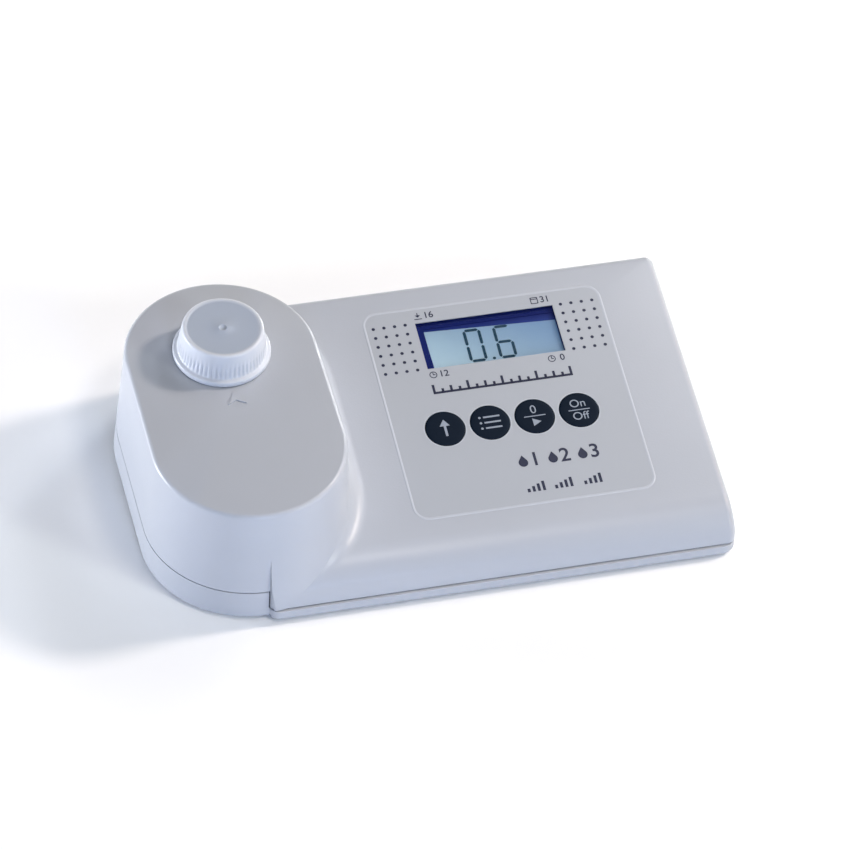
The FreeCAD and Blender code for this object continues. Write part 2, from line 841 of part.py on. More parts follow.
def along_x(profile, side, start, z):
    """Turn a (radius, distance) profile about the light path, going outwards from the well."""
    solid = turned(profile, 0, 0)
    solid.rotate(V(0, 0, 0), V(0, 1, 0), 90 * side)
    solid.translate(V(turret_x + side * start, vial_y, z))
    return solid


def holder_block(side):
    near = turret_x + side * pad_reach
    end = turret_x + side * (pad_reach + holder_depth)
    body = block(min(near, end), max(near, end), vial_y - pad_width / 2, vial_y + pad_width / 2, pad_bottom, pad_top)
    return body.cut(optic_screw_holes(0.2))


def lamp_holder():
    body = holder_block(-1)
    for z in path_heights:
        body = body.cut(along_x(((0, -1), (lamp_radius + 0.1, -1), (lamp_radius + 0.1, holder_depth - 1.1),
                                 (lamp_flange + 0.15, holder_depth - 1.1), (lamp_flange + 0.15, holder_depth + 1),
                                 (0, holder_depth + 1)), -1, pad_reach, z))
    return body


def led_lamps():
    lamps = []
    for z in path_heights:
        profile = ((0, 0.4), (1.5, 0.8), (2.2, 1.6), (lamp_radius, 2.9), (lamp_radius, holder_depth - 1.0),
                   (lamp_flange, holder_depth - 1.0), (lamp_flange, holder_depth), (0, holder_depth))
        lamps.append(along_x(profile, -1, pad_reach, z))
    return group(lamps)


def sensor_holder():
    body = holder_block(1)
    for z in path_heights:
        body = body.cut(along_x(((0, -1), (filter_radius + 0.1, -1), (filter_radius + 0.1, filter_thickness + 0.1),
                                 (path_radius, filter_thickness + 0.1), (path_radius, holder_depth - sensor_depth),
                                 (sensor_radius + 0.1, holder_depth - sensor_depth), (sensor_radius + 0.1, holder_depth + 1),
                                 (0, holder_depth + 1)), 1, pad_reach, z))
    return body


def interference_filters():
    profile = ((0, 0.05), (filter_radius, 0.05), (filter_radius, filter_thickness), (0, filter_thickness))
    return group([along_x(profile, 1, pad_reach, z) for z in path_heights])


def photosensors():
    near = holder_depth - sensor_depth + 0.2
    profile = ((0, near), (sensor_radius, near), (sensor_radius, holder_depth), (0, holder_depth))
    return group([along_x(profile, 1, pad_reach, z) for z in path_heights])


def optic_board(side):
    near = turret_x + side * (pad_reach + holder_depth)
    end = near + side * board_thickness
    body = block(min(near, end), max(near, end), vial_y - pad_width / 2 - board_lap, vial_y + pad_width / 2 + board_lap,
                 pad_bottom, pad_top)
    return body.cut(optic_screw_holes(0.2))


def optic_screws():
    screws = []
    for side in (-1, 1):
        for sy in (-1, 1):
            solid = screw(optic_screw_radius, holder_depth + board_thickness + 2.2, 1.8, 1.1, 0, 0, 0)
            solid.rotate(V(0, 0, 0), V(0, 1, 0), -90 * side)
            middle = (path_heights[0] + path_heights[1]) / 2
            solid.translate(V(turret_x + side * (pad_reach + holder_depth + board_thickness),
                              vial_y + sy * optic_screw_spread, middle))
            screws.append(solid)
    return group(screws)


def vial_glass():
    """Round glass vial with a shoulder and a neck, open at the top."""
    def arc(a, b, c):
        return Part.Arc(V(a[0], 0, a[1]), V(b[0], 0, b[1]), V(c[0], 0, c[1])).toShape()

    def line(a, b):
        return Part.LineSegment(V(a[0], 0, a[1]), V(b[0], 0, b[1])).toShape()

    r, n, w = vial_radius, vial_neck_radius, vial_wall
    inner_neck = n - vial_neck_wall
    z0, z1, z2 = vial_floor, vial_shoulder, vial_mouth
    heel = 1.6
    drop = r - n
    k = 1 - math.sqrt(0.5)
    edges = [line((0, z0), (r - heel, z0)), arc((r - heel, z0), (r - heel * k, z0 + heel * k), (r, z0 + heel)),
             line((r, z0 + heel), (r, z1 - drop)), arc((r, z1 - drop), (r - drop * k, z1 - drop * k), (n, z1)),
             line((n, z1), (n, z2)), line((n, z2), (inner_neck, z2)), line((inner_neck, z2), (inner_neck, z1 - w)),
             arc((inner_neck, z1 - w), (r - w - (r - w - inner_neck) * k, z1 - w - (r - w - inner_neck) * k),
                 (r - w, z1 - w - (r - w - inner_neck))),
             line((r - w, z1 - w - (r - w - inner_neck)), (r - w, z0 + w + heel)),
             arc((r - w, z0 + w + heel), (r - w - heel * k, z0 + w + heel * k), (r - w - heel, z0 + w)),
             line((r - w - heel, z0 + w), (0, z0 + w)), line((0, z0 + w), (0, z0))]
    solid = Part.Face(Part.Wire(edges)).revolve(V(0, 0, 0), V(0, 0, 1), 360)
    solid.translate(V(turret_x, vial_y, 0))
    return solid


def vial_cap():
    """Screw cap with a wide flange that keeps light out of the well."""
    flange_bottom = turret_top + cap_flange_gap
    flange_top_z = flange_bottom + cap_flange_thickness
    inner = vial_neck_radius + cap_bore_gap
    roof = cap_top - cap_roof
    profile = ((inner, flange_bottom), (cap_flange_radius - 0.4, flange_bottom), (cap_flange_radius, flange_bottom + 0.5),
               (cap_flange_radius, flange_top_z - 0.5), (cap_flange_radius - 0.5, flange_top_z),
               (cap_skirt_radius + 0.2, flange_top_z + 0.1), (cap_skirt_radius, cap_skirt_bottom),
               (cap_top_radius + 0.35, cap_top - 0.9), (cap_top_radius, cap_top - 0.25), (cap_top_radius - 0.5, cap_top),
               (dimple_radius, cap_top), (dimple_radius * 0.6, cap_top - dimple_depth), (0, cap_top - dimple_depth),
               (0, roof), (inner, roof))
    return turned(profile, turret_x, vial_y)


def cap_liner():
    radius = vial_neck_radius + cap_bore_gap - 0.15
    return disc(radius, vial_mouth + liner_gap, cap_top - cap_roof - liner_gap, turret_x, vial_y)


os.makedirs("parts", exist_ok=True)
save("upper_housing", upper_housing())
save("lower_housing", lower_housing())
save("housing_gasket", housing_gasket())
save("housing_screws", housing_screws())
save("rubber_feet", rubber_feet())
save("battery_cover", battery_cover())
save("battery_cover_seal", battery_cover_seal())
save("battery_cover_screws", battery_cover_screws())
for number, (y, z, way) in enumerate(cell_places(), 1):
    save("aa_cell_" + str(number), aa_cell(y, z, way))
save("battery_contacts", battery_contacts())
save("battery_springs", battery_springs())
save("keypad_film", keypad_film())
save("keypad_spacer", keypad_spacer())
save("keypad_circuit", keypad_circuit())
save("key_domes", key_domes())
for number, x in enumerate(key_places(), 1):
    save("key_" + str(number), key(x))
save("display_window", display_window())
save("lcd_frame", lcd_frame())
save("lcd_glass", lcd_glass())
save("backlight_panel", backlight_panel())
save("zebra_strips", zebra_strips())
save("main_board", main_board())
save("board_components", board_components())
save("board_screws", board_screws())
save("sample_chamber", sample_chamber())
save("chamber_seal", chamber_seal())
save("chamber_screws", chamber_screws())
save("lamp_holder", lamp_holder())
save("led_lamps", led_lamps())
save("lamp_board", optic_board(-1))
save("sensor_holder", sensor_holder())
save("interference_filters", interference_filters())
save("photosensors", photosensors())
save("sensor_board", optic_board(1))
save("optic_screws", optic_screws())
save("vial_glass", vial_glass())
save("vial_cap", vial_cap())
save("cap_liner", cap_liner())
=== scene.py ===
"""Finishes and fine pieces of a handheld pool photometer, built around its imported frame."""

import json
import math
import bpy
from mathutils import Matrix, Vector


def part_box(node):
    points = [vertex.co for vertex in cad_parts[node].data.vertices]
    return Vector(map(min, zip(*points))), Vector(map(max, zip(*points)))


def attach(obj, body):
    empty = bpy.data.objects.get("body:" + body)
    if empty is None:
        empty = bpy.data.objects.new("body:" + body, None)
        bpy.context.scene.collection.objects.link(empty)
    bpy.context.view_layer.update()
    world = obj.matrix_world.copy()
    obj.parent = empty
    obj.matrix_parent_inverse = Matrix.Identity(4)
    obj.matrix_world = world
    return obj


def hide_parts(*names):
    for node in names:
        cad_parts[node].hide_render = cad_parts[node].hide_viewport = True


bl_info = {
    "name": "Pool photometer",
    "version": (1, 0, 0),
    "blender": (4, 5, 0),
    "location": "View3D > Sidebar > Photometer",
    "description": "Dresses the frame of a handheld pool photometer with its finishes and fine pieces",
    "category": "Object",
}

import bmesh
import bpy
from mathutils import Matrix, Vector

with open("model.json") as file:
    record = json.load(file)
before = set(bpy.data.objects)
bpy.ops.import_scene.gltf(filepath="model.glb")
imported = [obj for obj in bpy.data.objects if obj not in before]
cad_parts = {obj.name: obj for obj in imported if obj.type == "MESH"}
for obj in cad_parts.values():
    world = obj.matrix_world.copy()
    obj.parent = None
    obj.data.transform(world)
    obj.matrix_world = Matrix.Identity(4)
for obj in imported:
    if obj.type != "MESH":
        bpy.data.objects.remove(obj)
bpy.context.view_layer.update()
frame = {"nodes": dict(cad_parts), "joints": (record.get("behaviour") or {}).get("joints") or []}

MM = 0.001
HOUSING = "housing"
KEYS = ("key_1", "key_2", "key_3", "key_4")
CAD_WELD = 1e-6
TURNED_WELD = 1e-7
DISC_SIDES = 24


def srgb(red, green, blue):
    """Screen colour, 0 to 255 a channel, as linear light."""
    def linear(value):
        value /= 255.0
        return value / 12.92 if value <= 0.04045 else ((value + 0.055) / 1.055) ** 2.4
    return (linear(red), linear(green), linear(blue), 1.0)


def shaded(colour, share, lift=0.0):
    """A colour made darker or lighter by a share."""
    return [min(1.0, channel * share + lift) for channel in colour[:3]] + [1.0]


def panel_matrix():
    """Takes a flat drawing, x right, v up the slope and n out of the panel, onto the sloping panel."""
    press = next(joint for joint in frame["joints"] if joint["name"] == "key_1_press")
    normal = -Vector(press["axis"]).normalized()
    across = Vector((1, 0, 0))
    along = normal.cross(across)
    matrix = Matrix((across, along, normal)).transposed().to_4x4()
    film = frame["nodes"]["keypad_film"].data.vertices
    top = max(vertex.co.dot(normal) for vertex in film)
    matrix.translation = Vector((0, 0, top / normal.z))
    return matrix


PANEL = panel_matrix()
VIAL = (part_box("vial_glass")[0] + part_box("vial_glass")[1]) / 2


def on_panel(node):
    """Low and high corner of a node in the panel's flat drawing."""
    flat = PANEL.inverted()
    points = [flat @ vertex.co for vertex in frame["nodes"][node].data.vertices]
    return (Vector([min(point[axis] for point in points) for axis in range(3)]),
            Vector([max(point[axis] for point in points) for axis in range(3)]))


# Properties
def length_property(name, description, size):
    return bpy.props.FloatProperty(name=name, description=description, default=size, unit="LENGTH")


def count_property(name, description, number):
    return bpy.props.IntProperty(name=name, description=description, default=number)


def colour_property(name, description, *channels):
    return bpy.props.FloatVectorProperty(
        name=name, description=description, subtype="COLOR", size=4, default=srgb(*channels))


class PhotometerSizes(bpy.types.PropertyGroup):
    """Sizes of the fine pieces that the frame leaves out."""

    dot_size: length_property("Dot size", "Diameter of a printed dot", 1.15 * MM)
    dot_pitch: length_property("Dot pitch", "Distance between printed dots", 3.6 * MM)
    dot_left: length_property("Left dots", "First column of the left dots", -5.85 * MM)
    dot_right: length_property("Right dots", "First column of the right dots", 58.0 * MM)
    dot_front: length_property("Front dots", "Front row of both dot fields", 20.6 * MM)
    dot_columns: count_property("Dot columns", "Columns in a dot field", 4)
    dot_rows: count_property("Dot rows", "Rows in a dot field", 6)
    ink_height: length_property("Ink height", "How far a print stands on its surface", 0.03 * MM)
    scale_ticks: count_property("Scale ticks", "Ticks on the plain scale over the keys", 17)
    flutes: count_property("Cap flutes", "Grip flutes round the vial cap", 60)
    flute_depth: length_property("Flute depth", "Depth of a grip flute", 0.3 * MM)


class PhotometerColours(bpy.types.PropertyGroup):
    """Colours of the finishes."""

    housing: colour_property("Housing", "Moulded housing", 178, 181, 188)
    foil: colour_property("Foil", "Printed keypad foil", 170, 173, 179)
    ink: colour_property("Ink", "Dark blue print", 22, 26, 54)
    key: colour_property("Keys", "Printed key faces", 10, 22, 36)
    sign: colour_property("Signs", "Light print on the keys", 140, 148, 160)
    surround: colour_property("Surround", "Display surround", 20, 36, 114)
    display: colour_property("Display", "Display background", 174, 198, 214)
    segment: colour_property("Segments", "Display digits", 24, 66, 88)
    cap: colour_property("Cap", "Vial cap", 204, 207, 214)


# Shader expressions
class Value:
    """A socket that takes part in Python expressions."""

    def __init__(self, finish, socket):
        self.finish = finish
        self.socket = socket

    def maths(self, operation, first, second):
        return self.finish.add("ShaderNodeMath", {"operation": operation}, {0: first, 1: second})

    def __add__(self, other):
        return self.maths("ADD", self, other)

    def __radd__(self, other):
        return self.maths("ADD", other, self)

    def __sub__(self, other):
        return self.maths("SUBTRACT", self, other)

    def __rsub__(self, other):
        return self.maths("SUBTRACT", other, self)

    def __mul__(self, other):
        return self.maths("MULTIPLY", self, other)

    def __rmul__(self, other):
        return self.maths("MULTIPLY", other, self)

    def __gt__(self, other):
        return self.maths("GREATER_THAN", self, other)

    def __lt__(self, other):
        return self.maths("LESS_THAN", self, other)


class Finish:
    """One material, written as a few expressions."""

    def __init__(self, name):
        self.material = bpy.data.materials.new(name)
        self.material.use_nodes = True
        self.tree = self.material.node_tree
        self.tree.nodes.clear()

    def add(self, kind, settings=None, values=None, output=0):
        """Add a node: its settings first, then the values or links of its sockets."""
        node = self.tree.nodes.new(kind)
        for name, setting in (settings or {}).items():
            if name != "stops":
                setattr(node, name, setting)
                continue
            stops = node.color_ramp.elements
            while len(stops) < len(setting):
                stops.new(1.0)
            for stop, (position, colour) in zip(stops, setting):
                stop.position = position
                stop.color = colour
        for name, value in (values or {}).items():
            if isinstance(value, Value):
                self.tree.links.new(value.socket, node.inputs[name])
            else:
                node.inputs[name].default_value = value
        return Value(self, node.outputs[output])

    def place(self, scale=(1, 1, 1), centre=(0, 0, 0)):
        """Object coordinates, counted from a centre and scaled."""
        where = self.add("ShaderNodeTexCoord", output="Object")
        return self.add("ShaderNodeMapping", {"vector_type": "TEXTURE"}, {
            "Vector": where, "Location": centre, "Scale": [1 / share for share in scale]})

    def axis(self, where, index):
        return self.add("ShaderNodeSeparateXYZ", None, {0: where}, index)

    def reach(self, where):
        """Distance from the coordinates' centre."""
        return self.add("ShaderNodeVectorMath", {"operation": "LENGTH"}, {0: where}, "Value")

    def noise(self, where, scale, detail=3.0, roughness=0.5):
        return self.add("ShaderNodeTexNoise", None, {
            "Vector": where, "Scale": scale, "Detail": detail, "Roughness": roughness})

    def grain(self, where, scale):
        """Distance to the nearest cell of a fine irregular grain."""
        return self.add("ShaderNodeTexVoronoi", None, {"Vector": where, "Scale": scale})

    def blend(self, share, first, second):
        """Mix two colours, through the colour sockets of a Mix node."""
        return self.add("ShaderNodeMix", {"data_type": "RGBA"}, {0: share, 6: first, 7: second}, 2)

    def ramp(self, share, *stops):
        return self.add("ShaderNodeValToRGB", {"stops": stops}, {0: share})

    def range(self, value, low, high, start=0.0, end=1.0):
        """Spread a value's range onto another, clamped."""
        return self.add("ShaderNodeMapRange", None, {0: value, 1: low, 2: high, 3: start, 4: end})

    def spread(self, noise, start, end):
        """Spread a noise, which mostly lies between 0.3 and 0.7, onto a range."""
        return self.range(noise, 0.3, 0.7, start, end)

    def bump(self, height, strength, distance):
        return self.add("ShaderNodeBump", None, {
            "Height": height, "Strength": strength, "Distance": distance})

    def surface(self, values):
        """The material's principled surface."""
        return self.close(self.add("ShaderNodeBsdfPrincipled", None, values))

    def close(self, shader):
        output = self.tree.nodes.new("ShaderNodeOutputMaterial")
        self.tree.links.new(shader.socket, output.inputs["Surface"])
        return self.material


# Making and finishing pieces
def link(name, mesh, body, material):
    """Show a mesh as a named piece of a body."""
    piece = bpy.data.objects.new(name, mesh)
    bpy.context.scene.collection.objects.link(piece)
    mesh.materials.append(material)
    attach(piece, body)
    return piece


def mesh_of(bm, name, sharp_angle=35.0):
    """Close a bmesh into a mesh that is smooth up to a sharp angle."""
    limit = math.radians(sharp_angle)
    for face in bm.faces:
        face.smooth = True
    for edge in bm.edges:
        edge.smooth = edge.is_manifold and edge.calc_face_angle() < limit
    mesh = bpy.data.meshes.new(name)
    bm.to_mesh(mesh)
    bm.free()
    return mesh


def merged(node):
    """A CAD node's mesh with its loose triangles merged."""
    bm = bmesh.new()
    bm.from_mesh(frame["nodes"][node].data)
    bmesh.ops.remove_doubles(bm, verts=bm.verts, dist=CAD_WELD)
    return bm


def dress(material, *nodes):
    """Give CAD nodes that stay a finish."""
    for node in nodes:
        slots = frame["nodes"][node].data.materials
        slots.clear()
        slots.append(material)


def turned(profile, centre, steps):
    """A closed shape turned about the Z axis from a profile of radius and height."""
    bm = bmesh.new()
    points = [bm.verts.new((radius, 0, height)) for radius, height in profile]
    edges = [bm.edges.new(pair) for pair in zip(points, points[1:])]
    bmesh.ops.spin(bm, geom=points + edges, cent=(0, 0, 0), axis=(0, 0, 1),
                   angle=math.tau, steps=steps, use_merge=True)
    bmesh.ops.remove_doubles(bm, verts=bm.verts, dist=TURNED_WELD)
    bmesh.ops.recalc_face_normals(bm, faces=bm.faces)
    bmesh.ops.translate(bm, verts=bm.verts, vec=centre)
    return bm


def add_block(bm, low, high):
    """A block between two corners."""
    low = Vector(low)
    high = Vector(high)
    matrix = Matrix.Translation((low + high) / 2) @ Matrix.Diagonal((*(high - low), 1))
    bmesh.ops.create_cube(bm, size=1.0, matrix=matrix)


def add_disc(bm, x, v, radius, low, high):
    """A thin upright disc."""
    matrix = Matrix.Translation((x, v, (low + high) / 2))
    bmesh.ops.create_cone(bm, cap_ends=True, segments=DISC_SIDES, radius1=radius, radius2=radius,
                          depth=high - low, matrix=matrix)


def add_outline(bm, corners, low, high):
    """A flat outline given by its corners, made as thick as a print."""
    face = bm.faces.new([bm.verts.new((x, v, low)) for x, v in corners])
    raised = bmesh.ops.extrude_face_region(bm, geom=[face])["geom"]
    tops = [item for item in raised if isinstance(item, bmesh.types.BMVert)]
    bmesh.ops.translate(bm, verts=tops, vec=(0, 0, high - low))
    bmesh.ops.recalc_face_normals(bm, faces=bm.faces)


def circle(x, v, radius, steps):
    """Corners of a round outline."""
    return [(x + radius * math.cos(math.tau * step / steps), v + radius * math.sin(math.tau * step / steps))
            for step in range(steps)]


def rounded(x0, x1, v0, v1, radius, steps=10):
    """Corners of a rectangle with round corners."""
    corners = []
    for x, v, start in ((x1 - radius, v0 + radius, -90), (x1 - radius, v1 - radius, 0),
                        (x0 + radius, v1 - radius, 90), (x0 + radius, v0 + radius, 180)):
        for step in range(steps + 1):
            angle = math.radians(start + 90 * step / steps)
            corners.append((x + radius * math.cos(angle), v + radius * math.sin(angle)))
    return corners


def add_ring(bm, outer, inner, low, high):
    """A flat band between two outlines with as many corners each."""
    add_band(bm, ((outer, low), (outer, high), (inner, high), (inner, low)))


def add_band(bm, outlines):
    """A closed band through outlines at their heights, with as many corners each."""
    corners, height = outlines[0]
    first = row = [bm.verts.new((x, v, height)) for x, v in corners]
    edges = [bm.edges.new((row[i - 1], row[i])) for i in range(len(row))]
    for corners, height in (*outlines[1:], outlines[0]):
        grown = set(bmesh.ops.extrude_edge_only(bm, edges=edges)["geom"])
        row = [next(edge.other_vert(point) for edge in point.link_edges if edge.other_vert(point) in grown)
               for point in row]
        for point, (x, v) in zip(row, corners):
            point.co = (x, v, height)
        edges = [bm.edges.get((row[i - 1], row[i])) for i in range(len(row))]
    bmesh.ops.weld_verts(bm, targetmap=dict(zip(row, first)))
    bmesh.ops.recalc_face_normals(bm, faces=bm.faces)


def add_words(bm, words, x, v, height, low, thick, bold=0.0):
    """Plain figures or letters, centred on a place, as a thin print."""
    curve = bpy.data.curves.new("figures", "FONT")
    curve.body = words
    curve.offset = bold
    curve.size = height
    curve.align_x = "CENTER"
    curve.align_y = "CENTER"
    curve.extrude = thick / 2
    holder = bpy.data.objects.new("figures", curve)
    bpy.context.scene.collection.objects.link(holder)
    bpy.context.view_layer.update()
    mesh = bpy.data.meshes.new_from_object(holder.evaluated_get(bpy.context.evaluated_depsgraph_get()))
    mesh.transform(Matrix.Translation((x, v, low + thick / 2)))
    bm.from_mesh(mesh)
    bpy.data.objects.remove(holder)
    bpy.data.curves.remove(curve)
    bpy.data.meshes.remove(mesh)


def printed(bm, name, material, body=HOUSING):
    """Take a flat print onto the panel."""
    bmesh.ops.transform(bm, matrix=PANEL, verts=bm.verts)
    link(name, mesh_of(bm, name), body, material)


# Finishes
def moulded(name, colour, roughness=0.34, grain=1.0):
    """Spark-eroded moulded plastic: a fine grain and a faint unevenness of shade."""
    finish = Finish(name)
    where = finish.place()
    fine = finish.noise(where, 2600.0, detail=2.0, roughness=0.6)
    pits = finish.grain(where, 1500.0)
    broad = finish.noise(where, 45.0, detail=2.0)
    return finish.surface({
        "Base Color": finish.blend(broad, colour, shaded(colour, 0.955)),
        "Roughness": finish.range(fine + broad * 0.5, 0.3, 1.2, roughness - 0.05, roughness + 0.07),
        "Normal": finish.bump(fine * 0.6 + pits * 0.8, 0.16 * grain, 0.08 * MM)})


def foil(name, colour):
    """Fine-grained printed polyester foil."""
    finish = Finish(name)
    where = finish.place()
    fine = finish.noise(where, 5200.0, detail=2.0, roughness=0.7)
    broad = finish.noise(where, 30.0, detail=2.0)
    return finish.surface({
        "Base Color": finish.blend(broad, colour, shaded(colour, 1.05)),
        "Roughness": finish.range(fine, 0.2, 0.8, 0.36, 0.46),
        "Normal": finish.bump(fine, 0.1, 0.04 * MM)})


def ink(name, colour, roughness=0.42, gloss=0.4):
    """Screen print with a slightly uneven cover."""
    finish = Finish(name)
    cover = finish.noise(finish.place(), 1400.0, roughness=0.7)
    return finish.surface({
        "Base Color": finish.blend(cover, colour, shaded(colour, 1.25, 0.004)),
        "Roughness": finish.spread(cover, roughness - 0.06, roughness + 0.06),
        "Specular IOR Level": gloss,
        "Normal": finish.bump(cover, 0.06, 0.02 * MM)})


def metal(name, colour, roughness, stretch=(1, 1, 1)):
    """Plated or turned metal with fine tool lines."""
    finish = Finish(name)
    lines = finish.noise(finish.place(stretch), 900.0, detail=4.0, roughness=0.7)
    return finish.surface({
        "Base Color": finish.blend(lines, colour, shaded(colour, 0.8)),
        "Metallic": 1.0,
        "Roughness": finish.spread(lines, roughness - 0.06, roughness + 0.08),
        "Normal": finish.bump(lines, 0.08, 0.03 * MM)})


def soft(name, colour, roughness=0.8):
    """Moulded rubber or foam."""
    finish = Finish(name)
    fine = finish.noise(finish.place(), 1800.0, detail=5.0, roughness=0.65)
    return finish.surface({
        "Base Color": finish.blend(fine, colour, shaded(colour, 0.7)),
        "Roughness": finish.spread(fine, roughness - 0.1, min(1.0, roughness + 0.1)),
        "Normal": finish.bump(fine, 0.3, 0.06 * MM)})


def clear(name, tint, haze, cover):
    """Clear sheet that lets most light straight through and keeps its gloss."""
    finish = Finish(name)
    smear = finish.noise(finish.place(), 160.0, detail=4.0)
    gloss = finish.add("ShaderNodeBsdfPrincipled", None, {
        "Base Color": tint, "Metallic": 1.0, "Roughness": finish.spread(smear, haze, haze + 0.05)})
    through = finish.add("ShaderNodeBsdfTransparent", None, {"Color": tint})
    facing = finish.add("ShaderNodeLayerWeight", None, {"Blend": 0.25}, "Fresnel")
    share = facing * 0.6 + cover
    return finish.close(finish.add("ShaderNodeMixShader", None, {0: share, 1: through, 2: gloss}))


def glass(name, tint):
    """Polished clear glass with faint draw lines."""
    finish = Finish(name)
    lines = finish.noise(finish.place(scale=(1, 1, 0.05)), 300.0, detail=2.0)
    return finish.surface({
        "Base Color": tint, "Transmission Weight": 1.0, "IOR": 1.5,
        "Roughness": finish.spread(lines, 0.0, 0.02),
        "Normal": finish.bump(lines, 0.02, 0.05 * MM)})


def display_face(name, colour):
    """Display glass with a painted reflection, paler at the lower left and bluer to the upper right, and a
    faint painted glow.
    """
    finish = Finish(name)
    where = finish.place()
    low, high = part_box("lcd_glass")
    across = finish.range(finish.axis(where, 0), low.x, high.x, 0.0, 0.75)
    up = finish.range(finish.axis(where, 1), low.y, high.y, 0.0, 0.45)
    mottle = finish.noise(where, 120.0)
    # painted reflection: the colour grows paler to the lower left and bluer to the upper right
    shade = across + up + mottle * 0.12
    return finish.surface({
        "Base Color": finish.ramp(
            shade, (0.0, srgb(222, 242, 248)), (0.55, colour), (1.0, srgb(144, 174, 204))),
        "Roughness": finish.spread(mottle, 0.28, 0.34),
        # painted glow: the display glass gives off light of its own
        "Emission Color": finish.ramp(shade, (0.0, srgb(120, 150, 165)), (1.0, srgb(60, 92, 125))),
        "Emission Strength": 0.4})


def board_green(name):
    """Solder mask over fine straight tracks."""
    finish = Finish(name)
    rows = {"offset": 0.35}
    tracks = {"Vector": finish.place(), "Scale": 260.0, "Mortar Size": 0.04}
    mask = finish.add("ShaderNodeTexBrick", rows, {
        **tracks, "Color1": srgb(18, 82, 48), "Color2": srgb(22, 92, 54), "Mortar": srgb(40, 124, 74)})
    line = finish.add("ShaderNodeTexBrick", rows, tracks, "Fac")
    return finish.surface({
        "Base Color": mask, "Roughness": 0.35, "Normal": finish.bump(line, 0.2, 0.04 * MM)})


class ShellsOperator(bpy.types.Operator):
    """Finish the housing's two shells and the battery cover"""

    bl_idname = "photometer.shells"
    bl_label = "Housing shells"

    def execute(self, context):
        colour = tuple(context.scene.photometer_colours.housing)
        shell = moulded("Grained housing plastic", colour)
        for node in ("upper_housing", "lower_housing", "battery_cover"):
            name = node + "_shell"
            mesh = mesh_of(merged(node), name, sharp_angle=28.0)
            piece = link(name, mesh, HOUSING, shell)
            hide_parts(node)
        return {"FINISHED"}


# The foil's edge bead and prints, in millimetres on the panel
EDGE_CORNER = 5.0
EDGE_PROFILE = ((-0.25, 0.0), (-0.05, 0.1), (0.1, 0.13), (0.7, 0.0), (0.7, -0.02), (-0.25, -0.02))
SCALE_LEFT = 8.0
SCALE_RIGHT = 55.2
SCALE_V = 10.4
SCALE_LINE = 0.85
TICK_HEIGHTS = (3.7, 1.9, 2.7, 1.9)
CORNER_NUMBERS = (("16", 13.4, 41.4), ("31", 53.2, 41.4), ("12", 13.2, 17.9), ("0", 53.4, 17.9))
CORNER_HEIGHT = 3.4
CORNER_SIGN_LEFT = 3.6
TEST_NUMBERS = (("1", 33.2), ("2", 43.2), ("3", 53.2))
TEST_V = -19.6
TEST_HEIGHT = 7.2
DROP_LEFT = 2.6
DROP_RIGHT = 1.5
DROP_HEIGHT = 4.4
RANGE_MARKS = (29.4, 38.6, 48.4)
RANGE_FRONT = -31.6
RANGE_BACK = -31.0
RANGE_BARS = 4
RANGE_PITCH = 1.7
RANGE_WIDTH = 0.95
RANGE_STEP = 0.75


